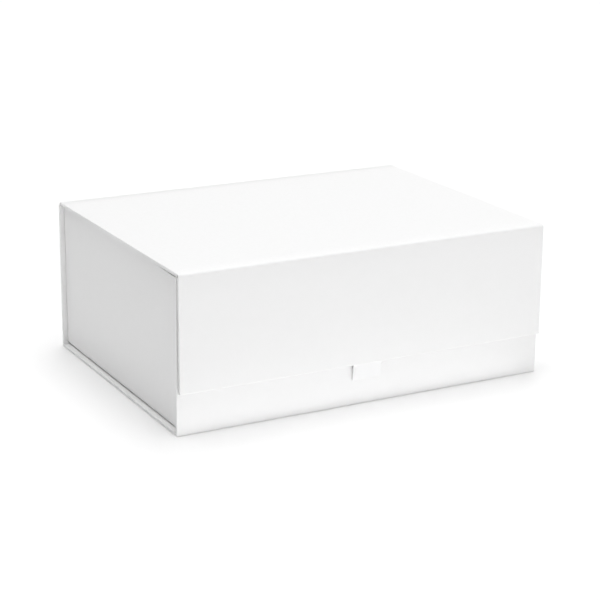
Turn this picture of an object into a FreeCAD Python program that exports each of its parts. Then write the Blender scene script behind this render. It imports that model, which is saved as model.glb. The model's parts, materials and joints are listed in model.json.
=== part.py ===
"""Magnetic-closure jewelry gift box: a white paper-wrapped rigid board box.

A strip of five panels (front wall, base, spine, lid, closing flap) carries two inset
side walls. The lid turns on the paper fold at the top of the spine, the flap turns on the
paper fold at the front of the lid, and a short ribbon loop hangs from the flap's edge.

Frame: millimetres, +Z up, front towards -Y, X along the length. The origin is the centre
of the underside of the base, midway between the outer faces of front wall and spine.
"""
import FreeCAD, Part
import math
import os

# ---- driving dimensions (mm) -------------------------------------------------------------
LENGTH = 256.0            # along X, base, front wall and spine
LID_INSET = 0.6           # lid and flap are this much narrower at each end
DEPTH = 185.0             # outer face of front wall to outer face of spine
HEIGHT = 100.0            # ground to top face of lid
BOARD = 1.5               # greyboard
PAPER = 0.2               # wrapping or lining paper with its glue
LEDGE = 3.0               # base, spine and front wall stand this far past the side walls
FOLD = 1.5                # set-back of the board edges from a fold; inner radius of the paper
LID_GAP = 0.3             # clearance between lid lining and tray rim
FLAP_DROP = 73.0          # lid top face to lower edge of the flap
FLAP_STANDOFF = 0.6       # flap lining to front wall at the top
FLAP_LEAN = 0.86          # degrees the closed flap leans away from the front wall
SIDE_FALL = 2.4           # side walls are this much lower at the front end
SIDE_FALL_FROM = -15.0    # Y where that fall begins
SIDE_GAP = 0.8            # open joint under each side wall
TURN_IN = 3.0             # visible border of the wrapping on the inner faces
WING_WIDTH = 30.0         # glued corner wings of the side walls
WING_DROP = 2.0           # wings stop this far below the rim
TAPE = 0.1
RIBBON_WIDTH = 20.0
RIBBON = 0.3              # one layer
RIBBON_HANG = 10.5        # loop below the flap's lower edge
RIBBON_INSIDE = 20.0      # glued length inside the flap
MAGNET_DIA = 12.0
MAGNET_THICK = 1.0
PLATE_THICK = 0.5         # steel keeper discs in the front wall
MAGNET_X = 80.0
MAGNET_Z = 42.0
PAD_TOP = 32.0            # top of the jewelry pad
VELVET = 0.6
SLOT_LENGTH = 46.0
SLOT_WIDTH = 2.4
SLOT_DEPTH = 15.0
SLOT_X = (-62.0, 0.0, 62.0)

# ---- derived planes ----------------------------------------------------------------------
XE = LENGTH / 2.0                     # edge of the strip
XB = XE - PAPER                       # edge of its boards
XL = XE - LID_INSET                   # edge of lid and flap
XLB = XL - PAPER                      # edge of their boards
YF = -DEPTH / 2.0                     # outer face of front wall
YB = DEPTH / 2.0                      # outer face of spine
PANEL = BOARD + 2.0 * PAPER
RO = FOLD + PAPER                     # outer radius of a paper fold
XS = XE - LEDGE                       # outer face of side walls
ZL = HEIGHT - PANEL                   # inner face of the lid
RIM = ZL - LID_GAP                    # top of the tray
YFI = YF + PANEL                      # inner face of front wall
YBI = YB - PANEL                      # inner face of spine
YFL = YF - FLAP_STANDOFF - PANEL      # outer face of the flap at the fold
CLEAR = 0.3                           # board ends set back from the centre of a moving fold
PIVOT = 0.3                           # hinge lines lie this far inside both outer faces
ARC = 43.0                            # each half of a moving paper fold spans this angle


def box(x0, x1, y0, y1, z0, z1):
    return Part.makeBox(x1 - x0, y1 - y0, z1 - z0, FreeCAD.Vector(x0, y0, z0))


def fuse(shapes):
    out = shapes[0]
    for s in shapes[1:]:
        out = out.fuse(s)
    return out.removeSplitter()


def prism(points, x0, x1):
    """Extrude a closed Y-Z outline along X."""
    pts = [FreeCAD.Vector(x0, y, z) for y, z in points]
    pts.append(pts[0])
    return Part.Face(Part.makePolygon(pts)).extrude(FreeCAD.Vector(x1 - x0, 0, 0))


def rod_x(y, z, r, x0, x1):
    return Part.makeCylinder(r, x1 - x0, FreeCAD.Vector(x0, y, z), FreeCAD.Vector(1, 0, 0))


def disc_y(x, z, r, y0, y1):
    return Part.makeCylinder(r, y1 - y0, FreeCAD.Vector(x, y0, z), FreeCAD.Vector(0, 1, 0))


def fold_arc(cy, cz, a0, a1, x0=-XE, x1=XE, r0=FOLD, r1=RO):
    """Paper bent about (cy, cz); angles in degrees from +Y towards +Z."""
    def at(r, a):
        return FreeCAD.Vector(x0, cy + r * math.cos(math.radians(a)), cz + r * math.sin(math.radians(a)))
    am = (a0 + a1) / 2.0
    edges = [
        Part.Arc(at(r1, a0), at(r1, am), at(r1, a1)).toShape(),
        Part.makeLine(at(r1, a1), at(r0, a1)),
        Part.Arc(at(r0, a1), at(r0, am), at(r0, a0)).toShape(),
        Part.makeLine(at(r0, a0), at(r1, a0)),
    ]
    return Part.Face(Part.Wire(edges)).extrude(FreeCAD.Vector(x1 - x0, 0, 0))


def both_ends(y0, y1, z0, z1, inner, xe=XE):
    """Wrapping over the two X edges of a panel, with its border on the inner face.

    inner is the (y0, y1, z0, z1) of the border layer."""
    out = []
    for s in (-1, 1):
        xa, xb = sorted((s * (xe - PAPER), s * xe))
        out.append(box(xa, xb, y0, y1, z0, z1))
        xa, xb = sorted((s * (xe - TURN_IN), s * xe))
        out.append(box(xa, xb, *inner))
    return out


def side_panel(xa, xb, y_end, z0, top):
    """Side wall plate between two X planes; its top edge falls towards the front."""
    return prism([(-y_end, z0), (y_end, z0), (y_end, top), (SIDE_FALL_FROM, top), (-y_end, top - SIDE_FALL)], xa, xb)


nodes = {}

# ---- tray: base --------------------------------------------------------------------------
yb0, yb1 = YF + RO, YB - RO
nodes["base_board"] = box(-XB, XB, yb0, yb1, PAPER, PAPER + BOARD)
nodes["base_wrap"] = fuse(
    [box(-XE, XE, yb0, yb1, 0, PAPER)]
    + both_ends(yb0, yb1, 0, PANEL - PAPER, (YFI, YBI, PANEL - PAPER, PANEL))
    + [fold_arc(yb0, RO, 225, 270), fold_arc(yb1, RO, 270, 315)]
)
nodes["base_liner"] = box(-XE + TURN_IN, XE - TURN_IN, yb0 + 0.3, yb1 - 0.3, PANEL - PAPER, PANEL)

# ---- tray: front wall --------------------------------------------------------------------
board = box(-XB, XB, YF + PAPER, YF + PAPER + BOARD, RO, RIM - PAPER)
plates = [disc_y(s * MAGNET_X, MAGNET_Z, MAGNET_DIA / 2, YF + PAPER, YF + PAPER + PLATE_THICK) for s in (-1, 1)]
pockets = [disc_y(s * MAGNET_X, MAGNET_Z, MAGNET_DIA / 2 + 0.1, YF + PAPER - 1, YF + PAPER + PLATE_THICK + 0.05) for s in (-1, 1)]
for p in pockets:
    board = board.cut(p)
nodes["front_wall_board"] = board
nodes["front_wall_wrap"] = fuse(
    [box(-XE, XE, YF, YF + PAPER, RO, RIM)]
    + both_ends(YF, YFI, RO, RIM, (YFI - PAPER, YFI, RO, RIM))
    + [
        box(-XE, XE, YF, YFI, RIM - PAPER, RIM),
        box(-XE, XE, YFI - PAPER, YFI, RIM - TURN_IN, RIM),
        fold_arc(yb0, RO, 180, 225),
    ]
)
nodes["front_wall_liner"] = box(-XE + TURN_IN, XE - TURN_IN, YFI - PAPER, YFI, PANEL, RIM - TURN_IN)
nodes["keeper_discs"] = Part.makeCompound(plates)

# ---- tray: spine -------------------------------------------------------------------------
cl, ct = YB - RO, HEIGHT - RO         # centre of the lid fold
spine_top = ct - CLEAR - 0.1
nodes["spine_board"] = box(-XB, XB, YB - PAPER - BOARD, YB - PAPER, RO, spine_top)
nodes["spine_wrap"] = fuse(
    [box(-XE, XE, YB - PAPER, YB, RO, ct)]
    + both_ends(YBI, YB, RO, spine_top, (YBI, YBI + PAPER, RO, spine_top))
    + [fold_arc(yb1, RO, 315, 360), fold_arc(cl, ct, 0, ARC)]
)
nodes["spine_liner"] = box(-XE + TURN_IN, XE - TURN_IN, YBI, YBI + PAPER, PANEL, spine_top)

# ---- tray: side walls, their wings and tapes ---------------------------------------------
tapes = []
for side, s in (("left", -1), ("right", 1)):
    def sx(a, b):
        return tuple(sorted((s * a, s * b)))
    z0 = PANEL + SIDE_GAP
    y_end = YBI - 0.1
    x_out, x_in = XS, XS - PANEL
    board = side_panel(*sx(x_in + PAPER, x_out - PAPER), y_end - PAPER, z0 + PAPER, RIM - PAPER)
    turn = 12.0
    wrap = side_panel(*sx(x_in, x_out), y_end, z0, RIM).cut(board)
    wrap = wrap.cut(box(*sx(x_in - 1, x_in + PAPER), -y_end - 1, y_end + 1, z0 - 1, RIM - turn))
    nodes["side_board_" + side] = board
    nodes["side_wrap_" + side] = wrap
    wing_y = YFI + TAPE + PANEL
    nodes["side_liner_" + side] = box(*sx(x_in, x_in + PAPER), wing_y + 0.2, -wing_y - 0.2, PANEL, RIM - turn)
    for end, e in (("front", -1), ("back", 1)):
        ya, yb = sorted((e * (-YFI - TAPE), e * (-wing_y)))
        wing_top = RIM - WING_DROP - (SIDE_FALL if e < 0 else 0.0)
        wing = box(*sx(x_in - 0.2 - WING_WIDTH, x_in - 0.2), ya, yb, PANEL + 0.4, wing_top)
        nodes["wing_%s_%s" % (end, side)] = wing
        ta, tb = sorted((e * -YFI, e * (-YFI - TAPE)))
        for k in (0, 1):
            xa = x_in - 0.2 - 4.0 - 14.0 * k
            tapes.append(box(*sx(xa - 9.0, xa), ta, tb, PANEL + 6.0, RIM - WING_DROP - TURN_IN - 8.0))
nodes["wing_tapes"] = Part.makeCompound(tapes)

# ---- tray: jewelry pad -------------------------------------------------------------------
px = XS - PANEL - 0.2
py = -(YFI + TAPE + PANEL) - 0.1
pz0 = PANEL + 0.1
foam = box(-px + VELVET, px - VELVET, -py + VELVET, py - VELVET, pz0, PAD_TOP - VELVET)
cover = box(-px, px, -py, py, pz0, PAD_TOP).cut(box(-px + VELVET, px - VELVET, -py + VELVET, py - VELVET, pz0 - 1, PAD_TOP - VELVET))
for x in SLOT_X:
    hw = SLOT_LENGTH / 2
    bottom = PAD_TOP - SLOT_DEPTH
    lined = box(x - hw - VELVET, x + hw + VELVET, -SLOT_WIDTH / 2 - VELVET, SLOT_WIDTH / 2 + VELVET, bottom - VELVET, PAD_TOP - VELVET)
    foam = foam.cut(lined)
    cover = cover.fuse(lined)
    cover = cover.cut(box(x - hw, x + hw, -SLOT_WIDTH / 2, SLOT_WIDTH / 2, bottom, PAD_TOP + 1))
nodes["pad_foam"] = foam
nodes["pad_cover"] = cover.removeSplitter()

# ---- lid ---------------------------------------------------------------------------------
cf = YFL + RO                         # centre of the flap fold
lid_front, lid_back = cf + CLEAR, cl - CLEAR
nodes["lid_board"] = box(-XLB, XLB, lid_front, lid_back, ZL + PAPER, HEIGHT - PAPER)
nodes["lid_wrap"] = fuse(
    [box(-XL, XL, cf, cl, HEIGHT - PAPER, HEIGHT)]
    + both_ends(lid_front, lid_back, ZL, HEIGHT, (lid_front, lid_back, ZL, ZL + PAPER), XL)
    + [fold_arc(cl, ct, 90 - ARC, 90, -XL, XL), fold_arc(cf, ct, 90, 90 + ARC, -XL, XL)]
)
nodes["lid_liner"] = box(-XL + TURN_IN, XL - TURN_IN, lid_front, lid_back, ZL, ZL + PAPER)

# ---- flap, built upright and then leaned about its fold ------------------------------------
flap_low = HEIGHT - FLAP_DROP
flap_top = ct - CLEAR - 0.1
yo, yi = YFL, YFL + PANEL             # outer and inner face
flap_pivot = FreeCAD.Vector(0, YFL + PIVOT, HEIGHT - PIVOT)
rib_in = yi - PAPER                   # ribbon lies against the inner side of the board
rib_out = rib_in - 2 * RIBBON
rib_mid = (rib_in + rib_out) / 2
stub = 0.8                            # the ribbon bends this far below the flap's edge
bend = 0.35                           # clear length each side of the bending line
hw = RIBBON_WIDTH / 2

board = box(-XLB, XLB, yo + PAPER, yi - PAPER, flap_low + PAPER, flap_top)
magnets = [disc_y(s * MAGNET_X, MAGNET_Z, MAGNET_DIA / 2, yi - PAPER - MAGNET_THICK, yi - PAPER) for s in (-1, 1)]
for s in (-1, 1):
    board = board.cut(disc_y(s * MAGNET_X, MAGNET_Z, MAGNET_DIA / 2 + 0.1, yi - PAPER - MAGNET_THICK - 0.05, yi))
slot = box(-hw - 0.1, hw + 0.1, rib_out - 0.05, rib_in, flap_low - 1, flap_low + RIBBON_INSIDE + 0.2)
board = board.cut(slot)
wrap = fuse(
    [box(-XL, XL, yo, yo + PAPER, flap_low, ct)]
    + both_ends(yo, yi, flap_low, flap_top, (yi - PAPER, yi, flap_low, flap_top), XL)
    + [
        box(-XL, XL, yo, yi, flap_low, flap_low + PAPER),
        box(-XL, XL, yi - PAPER, yi, flap_low, flap_low + TURN_IN),
        fold_arc(cf, ct, 180 - ARC, 180, -XL, XL),
    ]
).cut(slot)
flap_shapes = {
    "flap_board": board,
    "flap_wrap": wrap,
    "flap_liner": box(-XL + TURN_IN, XL - TURN_IN, yi - PAPER, yi, flap_low + TURN_IN, flap_top),
    "flap_magnets": Part.makeCompound(magnets),
    "ribbon_anchor": box(-hw, hw, rib_out, rib_in, flap_low - stub + bend, flap_low + RIBBON_INSIDE),
}

# ---- ribbon loop below the flap ------------------------------------------------------------
tab_z = flap_low - stub               # bending line of the ribbon
r_end = 0.65
z_low = flap_low - RIBBON_HANG
z_c = z_low + r_end
loop = prism(
    [(rib_mid - RIBBON, tab_z - bend), (rib_mid + RIBBON, tab_z - bend), (rib_mid + r_end, z_c), (rib_mid - r_end, z_c)], -hw, hw
).fuse(rod_x(rib_mid, z_c, r_end, -hw, hw))
ri = r_end - RIBBON
eye = prism([(rib_mid, tab_z - 2.0), (rib_mid + ri, z_c), (rib_mid - ri, z_c)], -hw - 1, hw + 1).fuse(
    rod_x(rib_mid, z_c, ri, -hw - 1, hw + 1)
)
loop = loop.cut(eye).removeSplitter()
flap_shapes["ribbon_loop"] = loop

for name, shape in flap_shapes.items():
    s = shape.copy()
    s.rotate(flap_pivot, FreeCAD.Vector(-1, 0, 0), FLAP_LEAN)
    nodes[name] = s

# ---- hinge lines, for reference ------------------------------------------------------------
LID_HINGE = (0.0, YB - PIVOT, HEIGHT - PIVOT)
FLAP_HINGE = (0.0, flap_pivot.y, flap_pivot.z)
tab = Part.Vertex(0, rib_mid, tab_z)
tab.rotate(flap_pivot, FreeCAD.Vector(-1, 0, 0), FLAP_LEAN)
TAB_HINGE = (0.0, tab.Point.y, tab.Point.z)
print("lid hinge", LID_HINGE, "flap hinge", FLAP_HINGE, "tab hinge", TAB_HINGE)

os.makedirs("parts", exist_ok=True)
for name, shape in nodes.items():
    if not shape.isValid() or shape.Volume <= 0:
        raise RuntimeError("bad shape " + name)
    shape.exportStep("parts/" + name + ".step")
    b = shape.BoundBox
    print("%-18s solids %d  vol %9.1f  x %.2f..%.2f  y %.2f..%.2f  z %.2f..%.2f" % (
        name, len(shape.Solids), shape.Volume, b.XMin, b.XMax, b.YMin, b.YMax, b.ZMin, b.ZMax))
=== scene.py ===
import json
import math

import bmesh
import bpy
import numpy as np
from mathutils import Matrix, Vector, noise


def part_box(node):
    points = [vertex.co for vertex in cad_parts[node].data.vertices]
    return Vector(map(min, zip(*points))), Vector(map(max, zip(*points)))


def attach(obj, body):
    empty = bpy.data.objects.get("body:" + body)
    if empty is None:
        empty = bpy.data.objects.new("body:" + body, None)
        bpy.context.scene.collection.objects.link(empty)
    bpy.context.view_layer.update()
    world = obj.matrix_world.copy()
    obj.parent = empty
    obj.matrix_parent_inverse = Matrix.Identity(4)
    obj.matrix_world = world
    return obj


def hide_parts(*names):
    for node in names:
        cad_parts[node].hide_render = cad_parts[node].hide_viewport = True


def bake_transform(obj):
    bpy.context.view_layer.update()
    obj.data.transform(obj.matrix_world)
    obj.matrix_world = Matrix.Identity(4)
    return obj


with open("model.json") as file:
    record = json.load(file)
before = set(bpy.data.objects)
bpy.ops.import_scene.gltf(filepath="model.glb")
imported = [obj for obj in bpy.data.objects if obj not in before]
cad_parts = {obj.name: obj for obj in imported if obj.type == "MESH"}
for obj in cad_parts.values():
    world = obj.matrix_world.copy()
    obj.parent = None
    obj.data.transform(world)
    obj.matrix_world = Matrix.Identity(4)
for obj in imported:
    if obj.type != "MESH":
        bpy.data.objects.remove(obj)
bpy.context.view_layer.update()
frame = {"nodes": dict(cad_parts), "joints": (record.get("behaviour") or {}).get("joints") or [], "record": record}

MM = 0.001


# ---------------------------------------------------------------------------------------
# dimensions, from the CAD nodes (mm)
# ---------------------------------------------------------------------------------------
def nb(name):
    lo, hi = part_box(name)
    return lo / MM, hi / MM


def joint(name):
    j = next(x for x in frame["joints"] if x["name"] == name)
    return Vector(j["pos_m"]) / MM


XE = nb("base_wrap")[1].x                    # 128, edge of base, front wall and spine
XLD = nb("lid_wrap")[1].x                    # 127.4, edge of lid and flap
YF = nb("front_wall_wrap")[0].y              # -92.5, outer face of front wall
YB = nb("spine_wrap")[1].y                   # 92.5, outer face of spine
TOP = nb("lid_wrap")[1].z                    # 100
RIM = nb("front_wall_wrap")[1].z             # 97.8
PANEL = nb("base_wrap")[1].z                 # 1.9
ZL = TOP - PANEL                             # inner face of lid
PAPER = 0.2
RO = nb("front_wall_board")[0].z             # 1.7, outer radius of the folds
YFI, YBI = YF + PANEL, YB - PANEL
LB, LF = nb("lid_board")[1].y, nb("lid_board")[0].y      # ends of the lid's board
SPT = nb("spine_board")[1].z                 # top of the spine's board
OVER = 0.12                                  # paper over the boards' ends at the two folds
LBV, LFV, SPV = LB + OVER, LF - OVER, SPT + OVER
XS_OUT = nb("side_wrap_right")[1].x          # 125
XS_IN = nb("side_wrap_right")[0].x           # 123.1
P_LID, P_FLAP, P_TAB = joint("lid_hinge"), joint("flap_hinge"), joint("ribbon_bend")
YFL = P_FLAP.y - 0.3                         # outer face of the flap at its fold
CF = YFL + RO                                # centre of the flap fold
CL = YB - RO                                 # centre of the lid fold
CT = TOP - RO
FLAP_LOW = 27.0
LEAN = math.radians(0.86)


def lean(p, w=1.0):
    """Turn a point of the upright flap about the flap hinge, as the closed flap leans."""
    y, z = p[1] - P_FLAP.y, p[2] - P_FLAP.z
    c, s = math.cos(LEAN * w), math.sin(LEAN * w)
    return (p[0], P_FLAP.y + y * c + z * s, P_FLAP.z - y * s + z * c)


# ---------------------------------------------------------------------------------------
# node helpers
# ---------------------------------------------------------------------------------------
class Mat:
    def __init__(self, name):
        self.m = bpy.data.materials.new(name)
        self.m.use_nodes = True
        self.t = self.m.node_tree
        self.t.nodes.clear()
        self.out = self.n("ShaderNodeOutputMaterial")
        self.b = self.n("ShaderNodeBsdfPrincipled")
        self.link(self.b.outputs[0], self.out.inputs[0])
        self.co = self.n("ShaderNodeTexCoord").outputs["Object"]

    def n(self, kind, **props):
        x = self.t.nodes.new(kind)
        for k, v in props.items():
            setattr(x, k, v)
        return x

    def link(self, a, b):
        self.t.links.new(a, b)

    def put(self, socket, value):
        if hasattr(value, "is_output"):
            self.link(value, socket)
        else:
            socket.default_value = value

    def mapping(self, scale=(1, 1, 1), rot=(0, 0, 0), src=None):
        x = self.n("ShaderNodeMapping")
        x.inputs["Scale"].default_value = scale
        x.inputs["Rotation"].default_value = rot
        self.link(src or self.co, x.inputs["Vector"])
        return x.outputs[0]

    def noise(self, scale, detail=2.0, rough=0.5, vec=None, distortion=0.0):
        x = self.n("ShaderNodeTexNoise")
        x.inputs["Scale"].default_value = scale
        x.inputs["Detail"].default_value = detail
        x.inputs["Roughness"].default_value = rough
        x.inputs["Distortion"].default_value = distortion
        self.link(vec or self.co, x.inputs["Vector"])
        return x.outputs["Fac"]

    def voronoi(self, scale, vec=None, feature="F1", out="Distance"):
        x = self.n("ShaderNodeTexVoronoi", feature=feature)
        x.inputs["Scale"].default_value = scale
        self.link(vec or self.co, x.inputs["Vector"])
        return x.outputs[out]

    def math(self, op, a, b=0.0, clamp=False):
        x = self.n("ShaderNodeMath", operation=op, use_clamp=clamp)
        self.put(x.inputs[0], a)
        self.put(x.inputs[1], b)
        return x.outputs[0]

    def range(self, v, a0, a1, b0, b1, smooth=False):
        x = self.n("ShaderNodeMapRange")
        if smooth:
            x.interpolation_type = "SMOOTHSTEP"
        self.link(v, x.inputs["Value"])
        for k, val in zip(("From Min", "From Max", "To Min", "To Max"), (a0, a1, b0, b1)):
            x.inputs[k].default_value = val
        return x.outputs[0]

    def ramp(self, v, stops):
        x = self.n("ShaderNodeValToRGB")
        el = x.color_ramp.elements
        while len(el) < len(stops):
            el.new(0.5)
        for e, (p, c) in zip(el, stops):
            e.position = p
            e.color = (*c, 1)
        self.link(v, x.inputs[0])
        return x.outputs[0]

    def mix(self, fac, a, b, blend="MIX"):
        x = self.n("ShaderNodeMix", data_type="RGBA", blend_type=blend)
        self.put(x.inputs["Factor"], fac)
        for key, v in (("A", a), ("B", b)):
            s = [i for i in x.inputs if i.name == key and i.type == "RGBA"][0]
            self.put(s, (*v, 1) if isinstance(v, tuple) else v)
        return [o for o in x.outputs if o.type == "RGBA"][0]

    def bump(self, height, strength, distance, normal=None):
        x = self.n("ShaderNodeBump")
        x.inputs["Strength"].default_value = strength
        x.inputs["Distance"].default_value = distance
        self.link(height, x.inputs["Height"])
        if normal is not None:
            self.link(normal, x.inputs["Normal"])
        return x.outputs[0]

    def attr(self, name):
        return self.n("ShaderNodeAttribute", attribute_name=name).outputs["Fac"]

    def set(self, **kw):
        for k, v in kw.items():
            self.put(self.b.inputs[k.replace("_", " ")], v)


def paper(name, tone, rough, gloss=0.5, fibre=1.0, warm=0.0):
    """Coated wrapping paper over board: fine formation, long fibres, faint waviness."""
    m = Mat(name)
    stretched = m.mapping(scale=(1.0, 0.35, 1.0), rot=(0.3, 0.2, 0.6))
    fibres = m.noise(2600, 3, 0.6, stretched, 0.6)
    grain = m.noise(6500, 2, 0.5)
    cloud = m.noise(170, 3, 0.55)
    broad = m.noise(14, 2, 0.5)
    c0 = tuple(x * 0.9965 for x in tone)
    c1 = tuple(min(1.0, x * 1.0035) for x in tone)
    base = m.ramp(cloud, [(0.3, c0), (0.7, c1)])
    base = m.mix(m.range(fibres, 0.35, 0.75, 0.0, 0.03), base, tuple(x * 0.9 for x in tone))
    base = m.mix(m.range(broad, 0.35, 0.65, 0.0, 0.06), base, (tone[0] * 0.97, tone[1] * 0.967, tone[2] * (0.96 - warm)))
    wear = m.attr("wear")
    scuff = m.math("MULTIPLY", wear, m.range(m.noise(420, 4, 0.65), 0.45, 0.75, 0.0, 1.0))
    base = m.mix(m.math("MULTIPLY", scuff, 0.10), base, (tone[0] * 0.72, tone[1] * 0.70, tone[2] * 0.66))
    m.link(base, m.b.inputs["Base Color"])
    r = m.range(m.noise(900, 3, 0.6), 0.3, 0.7, rough - 0.035, rough + 0.035)
    r = m.math("ADD", r, m.math("MULTIPLY", scuff, 0.12), clamp=True)
    m.link(r, m.b.inputs["Roughness"])
    b1 = m.bump(m.noise(26, 1, 0.4), 0.3, 0.0001)
    b2 = m.bump(fibres, 0.30 * fibre, 0.000022, b1)
    b3 = m.bump(grain, 0.25 * fibre, 0.000012, b2)
    m.link(b3, m.b.inputs["Normal"])
    m.b.inputs["Specular IOR Level"].default_value = gloss
    m.b.inputs["IOR"].default_value = 1.48
    return m.m


M_WRAP = paper("wrap_paper", (0.925, 0.925, 0.925), 0.44, 0.30)
M_LINER = paper("liner_paper", (0.905, 0.903, 0.897), 0.62, 0.30, 1.6, 0.01)


# ---------------------------------------------------------------------------------------
# mesh helpers: everything is built in mm and scaled at the end
# ---------------------------------------------------------------------------------------
def arc(cy, cz, r, a0, a1, n):
    return [
        (cy + r * math.cos(math.radians(a0 + (a1 - a0) * i / n)), cz + r * math.sin(math.radians(a0 + (a1 - a0) * i / n)))
        for i in range(n + 1)
    ]


def span(p, q, step=9.0):
    """Points from p to q, ends included, no further apart than step."""
    d = math.hypot(q[0] - p[0], q[1] - p[1])
    n = max(1, int(math.ceil(d / step)))
    return [(p[0] + (q[0] - p[0]) * i / n, p[1] + (q[1] - p[1]) * i / n) for i in range(n + 1)]


def rounded(points, radii, step=9.0, n=5):
    """Closed outline through points, each corner rounded by its radius, long sides subdivided."""
    out, k = [], len(points)
    corners = []
    for i, (p, r) in enumerate(zip(points, radii)):
        a, b = Vector(points[i - 1]), Vector(points[(i + 1) % k])
        p = Vector(p)
        if r <= 0:
            corners.append([tuple(p)])
            continue
        u, v = (a - p).normalized(), (b - p).normalized()
        half = u.angle(v) / 2
        t = r / math.tan(half)
        c = p + (u + v).normalized() * (r / math.sin(half))
        s, e = p + u * t - c, p + v * t - c
        turn = math.atan2(s.x * e.y - s.y * e.x, s.dot(e))
        corners.append([tuple(c + Matrix.Rotation(turn * j / n, 2) @ s) for j in range(n + 1)])
    for i in range(k):
        out += corners[i]
        out += span(corners[i][-1], corners[(i + 1) % k][0], step)[1:-1]
    return out


def clean(points, tol=1e-5):
    out = []
    for p in points:
        if not out or math.hypot(p[0] - out[-1][0], p[1] - out[-1][1]) > tol:
            out.append(p)
    if math.hypot(out[0][0] - out[-1][0], out[0][1] - out[-1][1]) <= tol:
        out.pop()
    return out


def wobble(p, amp, scale, seed):
    q = Vector((p[0] / scale + seed * 7.3, p[1] / scale - seed * 3.1, p[2] / scale + seed * 1.7))
    return noise.noise(q) * amp


def bevel_sharp(bm, width, segments=3, angle=40.0, skip=None):
    """Round the convex sharp edges."""
    lim = math.radians(angle)
    edges = [
        e for e in bm.edges
        if len(e.link_faces) == 2 and e.is_convex and e.calc_face_angle(0.0) > lim and not (skip and skip(e))
    ]
    if edges:
        bmesh.ops.bevel(bm, geom=edges, offset=width, offset_type="OFFSET", segments=segments, profile=0.5, affect="EDGES", clamp_overlap=True)


def make(name, bm, material, body, replaces=(), wear=None, smooth=True):
    """bm in mm becomes an object in metres that rides on a body."""
    bmesh.ops.remove_doubles(bm, verts=bm.verts, dist=4e-3)
    bmesh.ops.dissolve_degenerate(bm, dist=2e-3, edges=bm.edges)
    bmesh.ops.recalc_face_normals(bm, faces=bm.faces)
    bmesh.ops.scale(bm, vec=(MM, MM, MM), verts=bm.verts)
    me = bpy.data.meshes.new(name)
    bm.to_mesh(me)
    bm.free()
    for p in me.polygons:
        p.use_smooth = smooth
    at = me.attributes.new("wear", "FLOAT", "POINT")
    co = np.zeros(len(me.vertices) * 3)
    me.vertices.foreach_get("co", co)
    co = co.reshape(-1, 3) / MM
    vals = np.array([wear(c) for c in co]) if wear else np.zeros(len(co))
    at.data.foreach_set("value", vals.astype(np.float32))
    ob = bpy.data.objects.new(name, me)
    bpy.context.scene.collection.objects.link(ob)
    me.materials.append(material)
    wn = ob.modifiers.new("normals", "WEIGHTED_NORMAL")
    wn.weight = 100
    wn.keep_sharp = False
    if isinstance(body, str):
        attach(ob, body)
    if replaces:
        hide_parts(*replaces)
    return ob


def extrude_x(outline, xs):
    """Closed Y-Z outline extruded along the given X positions, capped."""
    outline = clean(outline)
    bm = bmesh.new()
    rings = [[bm.verts.new((x, y, z)) for y, z in outline] for x in xs]
    n = len(outline)
    for a, b in zip(rings, rings[1:]):
        for i in range(n):
            bm.faces.new((a[i], a[(i + 1) % n], b[(i + 1) % n], b[i]))
    bm.faces.new(rings[0][::-1])
    bm.faces.new(rings[-1])
    bmesh.ops.recalc_face_normals(bm, faces=bm.faces)
    return bm


def xs_between(x0, x1, step=9.0):
    n = max(1, int(math.ceil((x1 - x0) / step)))
    return [x0 + (x1 - x0) * i / n for i in range(n + 1)]


def edge_wear(c):
    """Handling marks gather along the ends of the panels and near the ground."""
    e = min(abs(XLD - abs(c[0])), abs(c[2]) + 0.4, abs(TOP - c[2]) + 0.4)
    return max(0.0, 1.0 - e / 2.2)


# ---------------------------------------------------------------------------------------
# the case: tray strip, lid and flap as paper-wrapped board
# ---------------------------------------------------------------------------------------
R_EDGE = 0.42            # paper over the edge of the board
RF = 0.8                 # the two fixed folds at the ground


def tray_strip():
    o = []
    o += arc(YFI - R_EDGE, RIM - R_EDGE, R_EDGE, 0, 90, 5)
    o += arc(YF + R_EDGE, RIM - R_EDGE, R_EDGE, 90, 180, 5)
    o += span((YF, RIM - R_EDGE), (YF, RF))[1:-1]
    o += arc(YF + RF, RF, RF, 180, 270, 14)
    o += span((YF + RF, 0), (YB - RF, 0))[1:-1]
    o += arc(YB - RF, RF, RF, 270, 360, 14)
    o += span((YB, RF), (YB, SPV))[1:]
    o += arc(YBI + R_EDGE, SPV - R_EDGE, R_EDGE, 90, 180, 5)
    o += span((YBI, SPV - R_EDGE), (YBI, PANEL))[1:]
    o += span((YBI, PANEL), (YFI, PANEL))[1:]
    o += span((YFI, PANEL), (YFI, RIM - R_EDGE))[1:-1]
    bm = extrude_x(o, xs_between(-XE, XE))
    bevel_sharp(bm, 0.60, 5, skip=lambda e: abs(e.verts[0].co.x - e.verts[1].co.x) > 1e-6)
    for v in bm.verts:
        p = v.co
        inner = YF + 5 < p.y < YB - 5 and p.z > 1
        if p.z > 4 and abs(p.x) < XE - 1 and p.z < RIM - 2:
            p.y += wobble(p, 0.05, 70, 1)
        elif inner and abs(p.x) < XE - 1:
            p.z += wobble(p, 0.03, 60, 2)
    return make("case_wrap_tray", bm, M_WRAP, "tray",
                ("base_wrap", "front_wall_wrap", "spine_wrap"), edge_wear)


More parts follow.
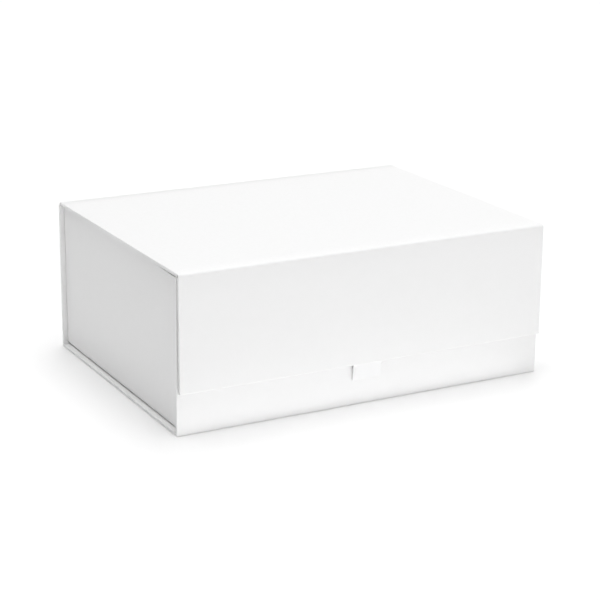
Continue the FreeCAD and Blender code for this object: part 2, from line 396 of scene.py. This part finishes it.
def lid_panel():
    pts = [(LBV, ZL), (LBV, TOP), (LFV, TOP), (LFV, ZL)]
    o = rounded(pts, [R_EDGE, 0, 0, R_EDGE])
    bm = extrude_x(o, xs_between(-XLD, XLD))
    bevel_sharp(bm, 0.80, 6, skip=lambda e: abs(e.verts[0].co.x - e.verts[1].co.x) > 1e-6)
    for v in bm.verts:
        p = v.co
        f = min(1.0, (XLD - abs(p.x)) / 12.0, max(0.0, (p.y - LF) / 12.0), max(0.0, (LB - p.y) / 12.0))
        p.z += wobble(Vector((p.x, p.y, 0)), 0.10, 85, 3) * f
    return make("case_wrap_lid", bm, M_WRAP, "lid", ("lid_wrap",), edge_wear)


def flap_panel():
    yo, yi = YFL, YFL + PANEL
    pts = [(yi, SPV), (yo, SPV), (yo, FLAP_LOW), (yi, FLAP_LOW)]
    o = rounded(pts, [R_EDGE, 0, 0.6, R_EDGE])
    bm = extrude_x(o, xs_between(-XLD, XLD))
    bevel_sharp(bm, 0.80, 6, skip=lambda e: abs(e.verts[0].co.x - e.verts[1].co.x) > 1e-6)
    for v in bm.verts:
        p = v.co
        f = min(1.0, (XLD - abs(p.x)) / 12.0, max(0.0, (SPT - p.z) / 10.0), max(0.0, (p.z - FLAP_LOW) / 8.0))
        p.y += wobble(Vector((p.x, 0, p.z)), 0.08, 75, 4) * f
        v.co = lean(v.co)
    return make("case_wrap_flap", bm, M_WRAP, "flap", ("flap_wrap",), edge_wear)


def fold_strip(name, cy, cz, a0, a1, start, end, ends, leaning=False):
    """The doubled paper over a moving fold. ends are the outer points where it meets the panels."""
    inner = RO - 0.42
    (ya, za), (yb, zb) = ends
    def tongue(y, z, ny, nz, ty, tz):
        """Outer skin end, then a tongue hidden inside the panel."""
        return [(y, z), (y + ty * 0.25 - ny * 0.03, z + tz * 0.25 - nz * 0.03), (y + ty * 0.25 - ny * 0.40, z + tz * 0.25 - nz * 0.40), (y - ny * 0.42, z - nz * 0.42)]
    a0r, a1r = math.radians(a0), math.radians(a1)
    n0 = (math.cos(a0r), math.sin(a0r))
    n1 = (math.cos(a1r), math.sin(a1r))
    sgn = 1 if a1 > a0 else -1
    t0 = (math.sin(a0r) * sgn, -math.cos(a0r) * sgn)      # away from the arc at its start
    t1 = (-math.sin(a1r) * sgn, math.cos(a1r) * sgn)
    outer = arc(cy, cz, RO, a0, a1, 28)
    inside = arc(cy, cz, inner, a1, a0, 20)
    o = tongue(ya, za, *n0, *t0)[::-1]
    o += outer
    o += tongue(yb, zb, *n1, *t1)
    o += inside
    bm = extrude_x(o, xs_between(-XLD + 0.2, XLD - 0.2, 3.0))
    bevel_sharp(bm, 0.19, 3, skip=lambda e: abs(e.verts[0].co.x - e.verts[1].co.x) > 1e-6)
    s, e = Vector(start), Vector(end)
    d = e - s
    for v in bm.verts:
        p = v.co
        r = math.hypot(p.y - cy, p.z - cz)
        ang = math.degrees(math.atan2(p.z - cz, p.y - cy))
        lo, hi = min(a0, a1), max(a0, a1)
        if lo + 4 < ang < hi - 4 and abs(p.x) < XLD - 0.3:
            k = math.sin(math.pi * (ang - lo) / (hi - lo))
            dr = (wobble(Vector((p.x, 0, 0)), 0.05, 11, 5) + wobble(Vector((p.x, ang * 0.05, 0)), 0.02, 3.0, 6)) * k
            p.y += (p.y - cy) / r * dr
            p.z += (p.z - cz) / r * dr
        if leaning:
            t = max(0.0, min(1.0, (p - s).dot(d) / d.length_squared))
            v.co = lean(p, t * t * (3 - 2 * t))
    ob = make(name, bm, M_WRAP, None, (), lambda c: 0.35)
    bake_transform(ob)
    return ob


case_tray, case_lid, case_flap = tray_strip(), lid_panel(), flap_panel()
fold_strip("fold_paper_lid", CL, CT, 0, 90, (0, YB, CT), (0, CL, TOP), ((YB, SPV), (LBV, TOP)))
fold_strip("fold_paper_flap", CF, CT, 90, 180, (0, CF, TOP), (0, YFL, CT), ((LFV, TOP), (YFL, SPV)), True)


# ---------------------------------------------------------------------------------------
# side walls with their wings
# ---------------------------------------------------------------------------------------
def side_top(y):
    """The rim of a side wall: tight under the lid at the back, lower towards the front."""
    t = max(0.0, min(1.0, (-15.0 - y) / 75.5))
    return RIM - 0.05 - 2.4 * t ** 1.15


def side_wall(side, s):
    z0 = nb("side_wrap_" + side)[0].z + 0.5
    ye = nb("side_wrap_" + side)[1].y - 0.35
    ys = xs_between(-ye, ye, 8.0)
    zs = xs_between(z0, RIM, 9.0)
    bm = bmesh.new()
    outline = [(s * XS_IN, z) for z in zs] + [(s * XS_OUT, z) for z in zs[::-1]]
    rings = []
    for y in ys:
        ring = []
        for x, z in outline:
            zz = z0 + (z - z0) * (side_top(y) - z0) / (RIM - z0)
            ring.append(bm.verts.new((x, y, zz)))
        rings.append(ring)
    n = len(outline)
    for a, b in zip(rings, rings[1:]):
        for i in range(n):
            bm.faces.new((a[i], a[(i + 1) % n], b[(i + 1) % n], b[i]))
    bm.faces.new(rings[0][::-1])
    bm.faces.new(rings[-1])
    bmesh.ops.recalc_face_normals(bm, faces=bm.faces)
    bevel_sharp(bm, R_EDGE, 4)
    for v in bm.verts:
        p = v.co
        f = min(1.0, (ye - abs(p.y)) / 10.0, max(0.0, (p.z - z0) / 8.0), max(0.0, (RIM - p.z) / 8.0))
        p.x += wobble(Vector((0, p.y, p.z)), 0.10, 70, 7 + s) * f
    return make("side_wall_wrap_" + side, bm, M_WRAP, "tray", ("side_wrap_" + side, "side_board_" + side),
                lambda c: max(0.0, 1 - min(abs(c[2] - z0), abs(c[2] - RIM), ye - abs(c[1]) + 0.5) / 2.0) * 0.8)


for side, s in (("left", -1), ("right", 1)):
    side_wall(side, s)


# ---------------------------------------------------------------------------------------
# lining papers and corner wings
# ---------------------------------------------------------------------------------------
def grid_lines(a, b, marks, step):
    """Sorted positions from a to b with every mark kept and gaps no wider than step."""
    pts = sorted({round(x, 4) for x in [a, b] + [m for m in marks if a < m < b]})
    out = [pts[0]]
    for p, q in zip(pts, pts[1:]):
        n = max(1, int(math.ceil((q - p) / step)))
        out += [p + (q - p) * i / n for i in range(1, n + 1)]
    return out


def lining(name, origin, U, V, N, lu, lv, body, replaces, margins, lift, marks_fn=None, post=None, material=None, seed=0.0):
    """A sheet of paper glued to a panel. margins are the widths of turned-in wrapping below it,
    from each side (u0, u1, v0, v1); the sheet stands a little higher over them."""
    origin, U, V, N = Vector(origin), Vector(U), Vector(V), Vector(N)
    u0, u1, v0, v1 = margins
    lo, hi = lift
    um, vm = [], []
    for m in (u0, lu - u1):
        if 0 < m < lu:
            um += [m - 0.5, m - 0.2, m + 0.2, m + 0.5]
    for m in (v0, lv - v1):
        if 0 < m < lv:
            vm += [m - 0.5, m - 0.2, m + 0.2, m + 0.5]
    um += [0.15, lu - 0.15]
    vm += [0.15, lv - 0.15]
    if marks_fn:
        mu, mv = marks_fn()
        um += mu
        vm += mv
    us, vs = grid_lines(0, lu, um, 8.0), grid_lines(0, lv, vm, 8.0)

    def ease(t):
        t = max(0.0, min(1.0, t))
        return t * t * (3 - 2 * t)

    def height(u, v):
        k = 0.0
        if u0 > 0:
            k = max(k, 1 - ease((u - u0 + 0.35) / 0.7))
        if u1 > 0:
            k = max(k, 1 - ease((lu - u - u1 + 0.35) / 0.7))
        if v0 > 0:
            k = max(k, 1 - ease((v - v0 + 0.35) / 0.7))
        if v1 > 0:
            k = max(k, 1 - ease((lv - v - v1 + 0.35) / 0.7))
        h = lo + (hi - lo) * k
        edge = min(u, lu - u, v, lv - v)
        if edge < 0.15:
            h -= 0.04 * (1 - edge / 0.15)
        h += wobble(Vector((u, v, seed)), 0.012, 22, 9) + wobble(Vector((u, v, seed)), 0.006, 5, 10)
        return h

    bm = bmesh.new()
    top = [[bm.verts.new(origin + U * u + V * v + N * (height(u, v) + (post(u, v) if post else 0.0))) for v in vs] for u in us]
    bot = [[bm.verts.new(origin + U * u + V * v - N * 0.08) for v in vs] for u in us]
    a, b = len(us), len(vs)
    for i in range(a - 1):
        for j in range(b - 1):
            bm.faces.new((top[i][j], top[i + 1][j], top[i + 1][j + 1], top[i][j + 1]))
            bm.faces.new((bot[i][j + 1], bot[i + 1][j + 1], bot[i + 1][j], bot[i][j]))
    for i in range(a - 1):
        for j in (0, b - 1):
            bm.faces.new((top[i][j], bot[i][j], bot[i + 1][j], top[i + 1][j]))
    for j in range(b - 1):
        for i in (0, a - 1):
            bm.faces.new((top[i][j], bot[i][j], bot[i][j + 1], top[i][j + 1]))
    return make(name, bm, material or M_LINER, body, replaces)


TURN = 11.0          # turned-in wrapping hidden under the linings
XL = XE - 3.0        # edge of the linings
XLL = XLD - 3.0

lining("lining_base", (-XL, YFI + 0.25, PANEL), (1, 0, 0), (0, 1, 0), (0, 0, 1), 2 * XL, YBI - YFI - 0.5, "tray", ("base_liner",), (TURN, TURN, 0, 0), (0.03, 0.10), seed=1)
lining("lining_front_wall", (-XL, YFI, PANEL + 0.2), (1, 0, 0), (0, 0, 1), (0, 1, 0), 2 * XL, RIM - 3.0 - PANEL - 0.2, "tray", ("front_wall_liner",), (TURN, TURN, 0, TURN), (0.02, 0.08), seed=2)
lining("lining_spine", (-XL, YBI, PANEL + 0.2), (1, 0, 0), (0, 0, 1), (0, -1, 0), 2 * XL, SPT - R_EDGE - PANEL - 0.2, "tray", ("spine_liner",), (TURN, TURN, 0, 0), (0.02, 0.08), seed=3)
lining("lining_lid", (-XLL, LF + R_EDGE, ZL), (1, 0, 0), (0, 1, 0), (0, 0, -1), 2 * XLL, LB - LF - 2 * R_EDGE, "lid", ("lid_liner",), (TURN, TURN, 0, 0), (0.02, 0.08), seed=4)

MAG_X, MAG_Z = 80.0, 42.0


def magnet_print(u, v):
    """The discs print faintly through the flap's lining."""
    h = 0.0
    for s in (-1, 1):
        d = math.hypot(u - (XLL + s * MAG_X), v - (MAG_Z - FLAP_LOW - 3.0))
        h += 0.045 * (1 - max(0.0, min(1.0, (d - 5.6) / 0.8)))
        h -= 0.02 * math.exp(-((d - 7.0) / 0.7) ** 2)
    return h


def magnet_marks():
    us = [XLL + s * MAG_X + k * 0.5 for s in (-1, 1) for k in range(-18, 19)]
    vs = [MAG_Z - FLAP_LOW - 3.0 + k * 0.5 for k in range(-18, 19)]
    return us, vs


flap_lining = lining("lining_flap", (-XLL, YFL + PANEL, FLAP_LOW + 3.0), (1, 0, 0), (0, 0, 1), (0, 1, 0), 2 * XLL, SPT - R_EDGE - FLAP_LOW - 3.0, None, ("flap_liner",), (TURN, TURN, TURN, 0), (0.02, 0.08), magnet_marks, magnet_print, seed=5)
for v in flap_lining.data.vertices:
    v.co = Vector(lean(v.co / MM)) * MM
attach(flap_lining, "flap")

for side, s in (("left", -1), ("right", 1)):
    lo, hi = nb("side_liner_" + side)
    lining("lining_side_" + side, (s * XS_IN, lo.y + 0.1, PANEL), (0, 1, 0), (0, 0, 1), (-s, 0, 0), hi.y - lo.y - 0.2, hi.z - PANEL, "tray", ("side_liner_" + side,), (0, 0, 0, 0), (0.06, 0.06), seed=6 + s)
    for end in ("front", "back"):
        wlo, whi = nb("wing_%s_%s" % (end, side))
        o = [(wlo.y, z) for z in xs_between(wlo.z, whi.z, 9)] + [(whi.y, z) for z in xs_between(wlo.z, whi.z, 9)[::-1]]
        bm = extrude_x(o, xs_between(wlo.x, whi.x, 6))
        bevel_sharp(bm, 0.40, 4)
        for v in bm.verts:
            p = v.co
            f = min(1.0, (p.x - wlo.x) / 6, (whi.x - p.x) / 6, (p.z - wlo.z) / 6, (whi.z - p.z) / 6)
            p.y += wobble(Vector((p.x, 0, p.z)), 0.06, 30, 11 + s) * max(0.0, f)
        make("corner_wing_%s_%s" % (end, side), bm, M_WRAP, "tray", ("wing_%s_%s" % (end, side),), lambda c: 0.25)


# ---------------------------------------------------------------------------------------
# ribbon pull
# ---------------------------------------------------------------------------------------
def ribbon_material():
    m = Mat("ribbon_grosgrain")
    s, e = m.attr("along"), m.attr("across")
    rib_height_and_shade = m.math("SINE", m.math("MULTIPLY", s, 2 * math.pi / 0.62))
    thread = m.math("SINE", m.math("ADD", m.math("MULTIPLY", e, 2 * math.pi / 0.17), m.math("MULTIPLY", rib_height_and_shade, 0.6)))
    fuzz = m.noise(5200, 3, 0.6)
    # the troughs between the ribs are painted darker than the crests: painted shade in the grooves of one white thread
    c = m.mix(m.range(rib_height_and_shade, -1, 1, 0.0, 1.0), (0.895, 0.895, 0.90), (0.965, 0.965, 0.967))
    c = m.mix(m.range(fuzz, 0.35, 0.7, 0.0, 0.12), c, (0.85, 0.85, 0.86))
    m.link(c, m.b.inputs["Base Color"])
    m.link(m.range(thread, -1, 1, 0.42, 0.60), m.b.inputs["Roughness"])
    b = m.bump(rib_height_and_shade, 0.5, 0.00005)
    b = m.bump(thread, 0.35, 0.000012, b)
    b = m.bump(fuzz, 0.3, 0.000012, b)
    m.link(b, m.b.inputs["Normal"])
    m.set(Sheen_Weight=0.25, Sheen_Roughness=0.4)
    m.b.inputs["Specular IOR Level"].default_value = 0.35
    return m.m


M_RIBBON = ribbon_material()


def ribbon():
    mid = YFL + PANEL - 0.30
    hw = nb("ribbon_loop")[1].x
    low = FLAP_LOW - 10.5
    rb = 0.19
    zc = low + 0.14 + rb
    def half(z):
        """Half the spread between the two legs."""
        t = max(0.0, min(1.0, (P_TAB.z - 0.6 - z) / (P_TAB.z - 0.6 - zc)))
        return 0.155 + (rb - 0.155) * t ** 1.6
    zs = [FLAP_LOW + 3.2, FLAP_LOW + 1.5, FLAP_LOW + 0.6]
    z = FLAP_LOW + 0.2
    while z > zc + 0.1:
        zs.append(z)
        z -= 0.14
    line = [(mid + half(z), z) for z in zs] + arc(mid, zc, rb, 0, -180, 22) + [(mid - half(z), z) for z in zs[::-1]]
    pts = [Vector(p) for p in line]
    sl = [0.0]
    for a, b in zip(pts, pts[1:]):
        sl.append(sl[-1] + (b - a).length)
    xs = grid_lines(-hw, hw, [-hw + 0.15, -hw + 0.5, -hw + 0.9, hw - 0.9, hw - 0.5, hw - 0.15], 0.6)
    bm = bmesh.new()
    lay_s = bm.verts.layers.float.new("along")
    lay_x = bm.verts.layers.float.new("across")
    rings = []
    for x in xs:
        edge = hw - abs(x)
        th = 0.14 + (0.025 if edge < 0.75 else 0.0) - (0.06 if edge < 0.05 else 0.0)
        outer, inner = [], []
        for i, p in enumerate(pts):
            t = (pts[min(i + 1, len(pts) - 1)] - pts[max(i - 1, 0)]).normalized()
            n = Vector((t.y, -t.x))                 # away from the loop's eye
            if n.dot(p - Vector((mid, p.y))) < 0:
                n = -n
            if p.y < zc:
                n = (p - Vector((mid, zc))).normalized()
            ripple = 0.012 * math.sin(2 * math.pi * sl[i] / 0.62)
            sway = 0.10 * math.sin(x * 0.21 + 0.6) * max(0.0, min(1.0, (26 - p.y) / 10)) + 0.05 * math.sin(x * 0.57)* max(0.0, min(1.0, (26 - p.y) / 10))
            for lst, d in ((outer, th + ripple), (inner, -th * 0.9)):
                q = p + n * d
                hang = max(0.0, min(1.0, (P_TAB.z - q.y) / (P_TAB.z - low)))
                to_wall = 1.50 * (hang if hang > 0.1 else 5.0 * hang * hang + 0.5 * hang)
                free = max(0.0, min(1.0, (FLAP_LOW - 0.5 - q.y) / 1.6))
                curl = (0.85 - 0.65 * hang) * (abs(x) / hw) ** 6 * free
                v = bm.verts.new(lean((x, q.x + sway * 0.5 + to_wall + curl, q.y)))
                v[lay_s] = sl[i]
                v[lay_x] = x
                lst.append(v)
        rings.append((outer, inner))
    k = len(pts)
    for (o0, i0), (o1, i1) in zip(rings, rings[1:]):
        for j in range(k - 1):
            bm.faces.new((o0[j], o0[j + 1], o1[j + 1], o1[j]))
            bm.faces.new((i0[j + 1], i0[j], i1[j], i1[j + 1]))
        for j in (0, k - 1):
            bm.faces.new((o0[j], i0[j], i1[j], o1[j]))
    for r in (0, -1):
        o, i = rings[r]
        for j in range(k - 1):
            bm.faces.new((o[j], o[j + 1], i[j + 1], i[j]))
    ob = make("pull_ribbon", bm, M_RIBBON, None, ("ribbon_loop", "ribbon_anchor"))
    ob.modifiers.remove(ob.modifiers["normals"])
    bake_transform(ob)
    return ob


pull = ribbon()


# ---------------------------------------------------------------------------------------
# jewelry pad: foam under velvet, with three ring slits
# ---------------------------------------------------------------------------------------
def velvet_material():
    m = Mat("pad_velvet")
    pile = m.noise(4200, 4, 0.65)
    crush = m.noise(38, 3, 0.55, m.mapping(scale=(1.0, 0.6, 1.0)), 0.8)
    nap = m.noise(11, 2, 0.5)
    c = m.ramp(crush, [(0.3, (0.690, 0.672, 0.640)), (0.7, (0.770, 0.755, 0.725))])
    c = m.mix(m.range(pile, 0.35, 0.75, 0.0, 0.22), c, (0.60, 0.58, 0.55))
    c = m.mix(m.range(nap, 0.4, 0.65, 0.0, 0.10), c, (0.82, 0.81, 0.79))
    m.link(c, m.b.inputs["Base Color"])
    m.link(m.range(crush, 0.3, 0.7, 0.82, 0.95), m.b.inputs["Roughness"])
    b = m.bump(crush, 0.35, 0.00035)
    b = m.bump(pile, 0.6, 0.00012, b)
    m.link(b, m.b.inputs["Normal"])
    m.set(Sheen_Weight=0.75, Sheen_Roughness=0.35, Sheen_Tint=(1.0, 0.985, 0.96, 1.0))
    m.b.inputs["Specular IOR Level"].default_value = 0.2
    return m.m


M_VELVET = velvet_material()


def pad():
    lo, hi = nb("pad_cover")
    slits = [(-62.0, 46.0), (0.0, 46.0), (62.0, 46.0)]
    hx, hy, z0, z1 = hi.x - 0.15, hi.y - 0.15, lo.z + 0.05, hi.z - 2.4
    xm, ym = [], [-16, -9, -5, -2.8, -1.5, -0.55, 0.55, 1.5, 2.8, 5, 9, 16]
    for c, l in slits:
        for s in (-1, 1):
            xm += [c + s * (l / 2 + d) for d in (-1.2, 0.0, 1.2, 3.0)]
    xm += [-hx + 1.5, -hx + 4, hx - 4, hx - 1.5]
    ym += [-hy + 1.5, -hy + 4, hy - 4, hy - 1.5]
    xs, ys = grid_lines(-hx, hx, xm, 6.0), grid_lines(-hy, hy, ym, 6.0)
    zs = grid_lines(z0, z1, [z1 - 1.5, z1 - 4], 6.0)
    bm = bmesh.new()
    vert = {}

    def v(i, j, k):
        if (i, j, k) not in vert:
            vert[(i, j, k)] = bm.verts.new((xs[i] * MM, ys[j] * MM, zs[k] * MM))
        return vert[(i, j, k)]

    a, b, c = len(xs) - 1, len(ys) - 1, len(zs) - 1
    for i in range(a):
        for j in range(b):
            bm.faces.new((v(i, j, c), v(i + 1, j, c), v(i + 1, j + 1, c), v(i, j + 1, c)))
            bm.faces.new((v(i, j + 1, 0), v(i + 1, j + 1, 0), v(i + 1, j, 0), v(i, j, 0)))
    for i in range(a):
        for k in range(c):
            bm.faces.new((v(i, 0, k), v(i + 1, 0, k), v(i + 1, 0, k + 1), v(i, 0, k + 1)))
            bm.faces.new((v(i, b, k + 1), v(i + 1, b, k + 1), v(i + 1, b, k), v(i, b, k)))
    for j in range(b):
        for k in range(c):
            bm.faces.new((v(0, j, k + 1), v(0, j + 1, k + 1), v(0, j + 1, k), v(0, j, k)))
            bm.faces.new((v(a, j, k), v(a, j + 1, k), v(a, j + 1, k + 1), v(a, j, k + 1)))
    bmesh.ops.recalc_face_normals(bm, faces=bm.faces)
    me = bpy.data.meshes.new("jewelry_pad")
    bm.to_mesh(me)
    bm.free()
    ob = bpy.data.objects.new("jewelry_pad", me)
    bpy.context.scene.collection.objects.link(ob)
    n = len(me.vertices)
    co = np.zeros(n * 3)
    me.vertices.foreach_get("co", co)
    rest = co.reshape(-1, 3) / MM

    def in_slit(x, y, dx=0.0, dy=1.6):
        return any(abs(x - cx) <= l / 2 + dx and abs(y) <= dy for cx, l in slits)

    pin = ob.vertex_groups.new(name="pin")
    for i, (x, y, z) in enumerate(rest):
        w = 0.0
        if z < z1 - 5:
            w = 1.0
        elif z > z1 - 0.01 and in_slit(x, y, 0.6):
            w = 1.0
        if w:
            pin.add([i], w, "REPLACE")
    mod = ob.modifiers.new("cloth", "CLOTH")
    st = mod.settings
    st.quality = 6
    st.mass = 0.25
    st.tension_stiffness = 12
    st.compression_stiffness = 12
    st.shear_stiffness = 6
    st.bending_stiffness = 0.6
    st.use_pressure = True
    st.uniform_pressure_force = 4.0
    st.vertex_group_mass = "pin"
    st.effector_weights.gravity = 0
    mod.point_cache.frame_start = 1
    mod.point_cache.frame_end = 20
    sc = bpy.context.scene
    for f in range(1, 21):
        sc.frame_set(f)
    dg = bpy.context.evaluated_depsgraph_get()
    ev = ob.evaluated_get(dg)
    em = ev.to_mesh()
    out = np.zeros(n * 3)
    em.vertices.foreach_get("co", out)
    ev.to_mesh_clear()
    out = out.reshape(-1, 3) / MM
    ob.modifiers.remove(mod)
    ob.vertex_groups.remove(pin)
    sc.frame_set(1)
    move = out - rest
    length = np.linalg.norm(move, axis=1)
    cap = 3.2
    scale = np.where(length > cap, cap / np.maximum(length, 1e-9), 1.0)
    out = rest + move * scale[:, None]
    out[:, 0] = np.clip(out[:, 0], -hi.x + 0.15, hi.x - 0.15)
    out[:, 1] = np.clip(out[:, 1], -hi.y + 0.15, hi.y - 0.15)
    out[:, 2] = np.maximum(out[:, 2], z0)
    for i, (x, y, z) in enumerate(rest):
        if z > z1 - 0.01:
            for cx, l in slits:
                if abs(x - cx) <= l / 2 + 0.01 and abs(y) < 0.6:
                    out[i, 2] = z1 - 14.0
                elif abs(x - cx) <= l / 2 + 1.3 and abs(y) < 1.6:
                    out[i, 2] -= 0.35
    me.vertices.foreach_set("co", (out * MM).ravel())
    me.update()
    for p in me.polygons:
        p.use_smooth = True
    me.materials.append(M_VELVET)
    sub = ob.modifiers.new("subdivision", "SUBSURF")
    sub.levels = 2
    sub.render_levels = sub.levels
    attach(ob, "tray")
    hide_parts("pad_cover", "pad_foam")
    return ob


jewelry_pad = pad()


# ---------------------------------------------------------------------------------------
# carried-over CAD nodes
# ---------------------------------------------------------------------------------------
def greyboard():
    m = Mat("greyboard")
    fleck = m.noise(900, 4, 0.7)
    fibre = m.noise(1500, 3, 0.6, m.mapping(scale=(1, 0.25, 1), rot=(0.4, 0.1, 0.9)))
    c = m.ramp(fleck, [(0.25, (0.235, 0.222, 0.198)), (0.55, (0.345, 0.330, 0.300)), (0.8, (0.455, 0.440, 0.405))])
    c = m.mix(m.range(fibre, 0.55, 0.8, 0, 0.5), c, (0.55, 0.53, 0.49))
    m.link(c, m.b.inputs["Base Color"])
    m.set(Roughness=m.range(fleck, 0.3, 0.7, 0.82, 0.95))
    m.link(m.bump(fibre, 0.4, 0.00006), m.b.inputs["Normal"])
    return m.m


def foam():
    m = Mat("pad_foam")
    pore_depth_and_shade = m.voronoi(1500)
    # the centres of the cells are painted darker: painted shade in the hollows of the pores, which the bump below also
    # sinks
    c = m.ramp(pore_depth_and_shade, [(0.0, (0.62, 0.61, 0.58)), (0.5, (0.84, 0.83, 0.80))])
    m.link(c, m.b.inputs["Base Color"])
    m.set(Roughness=0.95)
    m.link(m.bump(pore_depth_and_shade, 0.8, 0.0003), m.b.inputs["Normal"])
    return m.m


def metal(name, tone, rough, streak):
    m = Mat(name)
    lines = m.noise(1200, 3, 0.6, m.mapping(scale=(0.05, 1, 1) if streak else (1, 1, 1)))
    c = m.mix(m.range(lines, 0.3, 0.7, 0, 1), tuple(x * 0.9 for x in tone), tone)
    m.link(c, m.b.inputs["Base Color"])
    m.set(Metallic=1.0, Roughness=m.range(lines, 0.3, 0.7, rough - 0.06, rough + 0.08))
    m.link(m.bump(lines, 0.2, 0.00002), m.b.inputs["Normal"])
    return m.m


def tape():
    m = Mat("adhesive_tape")
    w = m.noise(700, 3, 0.6)
    c = m.mix(m.range(w, 0.3, 0.7, 0, 1), (0.80, 0.79, 0.75), (0.88, 0.87, 0.84))
    m.link(c, m.b.inputs["Base Color"])
    m.set(Roughness=m.range(w, 0.3, 0.7, 0.3, 0.45))
    m.link(m.bump(w, 0.3, 0.00003), m.b.inputs["Normal"])
    return m.m


CAD_MATERIALS = {
    "greyboard": greyboard(),
    "pad_foam": foam(),
    "keeper_steel": metal("keeper_steel", (0.56, 0.56, 0.55), 0.34, True),
    "magnet_nickel": metal("magnet_nickel", (0.70, 0.68, 0.65), 0.18, False),
    "adhesive_tape": tape(),
    "wrap_paper": M_WRAP,
    "liner_paper": M_LINER,
    "velvet": M_VELVET,
    "ribbon": M_RIBBON,
}
SLOT_OF = {p["node"]: p["material_slot"] for p in frame["record"]["subparts"]}
for name, ob in frame["nodes"].items():
    ob.data.materials.clear()
    ob.data.materials.append(CAD_MATERIALS[SLOT_OF[name]])


# ---------------------------------------------------------------------------------------
# stage, light and camera
# ---------------------------------------------------------------------------------------
def stage():
    me = bpy.data.meshes.new("studio_floor")
    bm = bmesh.new()
    bmesh.ops.create_grid(bm, x_segments=8, y_segments=8, size=6.0)
    bm.to_mesh(me)
    bm.free()
    ob = bpy.data.objects.new("studio_floor", me)
    bpy.context.scene.collection.objects.link(ob)
    ob.location = (0, 0, -0.00002)
    m = Mat("studio_floor")
    c = m.ramp(m.noise(3.0, 2), [(0.3, (0.955, 0.955, 0.955)), (0.7, (0.965, 0.965, 0.965))])
    m.link(c, m.b.inputs["Base Color"])
    m.set(Roughness=0.9)
    m.b.inputs["Specular IOR Level"].default_value = 0.1
    me.materials.append(m.m)


stage()


def area(name, loc, target, size, power, size_y=None):
    ld = bpy.data.lights.new(name, "AREA")
    ld.shape = "RECTANGLE"
    ld.size = size
    ld.size_y = size_y or size
    ld.energy = power
    ob = bpy.data.objects.new(name, ld)
    bpy.context.scene.collection.objects.link(ob)
    ob.location = loc
    d = Vector(target) - Vector(loc)
    ob.rotation_euler = d.to_track_quat("-Z", "Y").to_euler()
    return ob


def sky(name, azimuth, elevation, strength, angle=60.0):
    """A wide, far soft light. Azimuth 0 is in front of the object and 90 to its right."""
    ld = bpy.data.lights.new(name, "SUN")
    ld.energy = strength
    ld.angle = math.radians(angle)
    ob = bpy.data.objects.new(name, ld)
    bpy.context.scene.collection.objects.link(ob)
    a, e = math.radians(azimuth), math.radians(elevation)
    d = Vector((math.sin(a) * math.cos(e), -math.cos(a) * math.cos(e), math.sin(e)))
    ob.rotation_euler = d.to_track_quat("Z", "Y").to_euler()
    return ob


sky("soft_overhead", 180, 80, 2.195)
sky("soft_front_high", 0, 60, 0.299)
sky("soft_front_right", 45, 35, 0.576)
sky("soft_front_low", 0, 15, 0.589, 30.0)
sky("soft_back_right", 135, 35, 0.469)
sky("soft_left_high", 270, 60, 0.350)
# white reflector cards lying at the foot of the front and of the left side
area("card_front_foot", (-0.016, -0.0995, 0.0006), (-0.016, -0.0995, 1.0), 0.235, 0.0005, 0.009).visible_camera = False
area("card_front_near", (-0.008, -0.107, 0.001), (-0.008, -0.107, 1.0), 0.25, 0.0056, 0.022).visible_camera = False
area("card_front", (-0.014, -0.132, 0.001), (-0.014, -0.132, 1.0), 0.26, 0.0113, 0.056).visible_camera = False
area("card_left", (-0.183, 0.0, 0.001), (-0.183, 0.0, 1.0), 0.05, 0.008, 0.20).visible_camera = False

world = bpy.data.worlds.new("studio")
bpy.context.scene.world = world
world.use_nodes = True
bg = world.node_tree.nodes["Background"]
bg.inputs[0].default_value = (1, 1, 1, 1)
bg.inputs[1].default_value = 1.0
vis = world.cycles_visibility
vis.camera, vis.diffuse, vis.glossy, vis.transmission, vis.scatter = True, False, False, False, False

scene = bpy.context.scene
scene.view_settings.view_transform = "Standard"
scene.view_settings.look = "None"
scene.view_settings.exposure = 0.0
scene.view_settings.gamma = 1.0

cam_data = bpy.data.cameras.new("camera")
cam = bpy.data.objects.new("camera", cam_data)
scene.collection.objects.link(cam)
cam_data.sensor_width = 36.0
cam_data.lens = 104.78
cam_data.clip_start = 0.05
cam_data.clip_end = 50.0
AZ, EL, ROLL, DIST = math.radians(-28.602), math.radians(17.396), math.radians(0.699), 1.1462
TARGET = Vector((0.002130, -0.0025, 0.041040))
back = Vector((math.sin(AZ) * math.cos(EL), -math.cos(AZ) * math.cos(EL), math.sin(EL)))
right = (-back).cross(Vector((0, 0, 1))).normalized()
up = right.cross(-back)
cx = right * math.cos(ROLL) + up * math.sin(ROLL)
cy_ = -right * math.sin(ROLL) + up * math.cos(ROLL)
rot = Matrix((cx, cy_, back)).transposed()
cam.matrix_world = Matrix.Translation(TARGET + back * DIST) @ rot.to_4x4()
scene.camera = cam
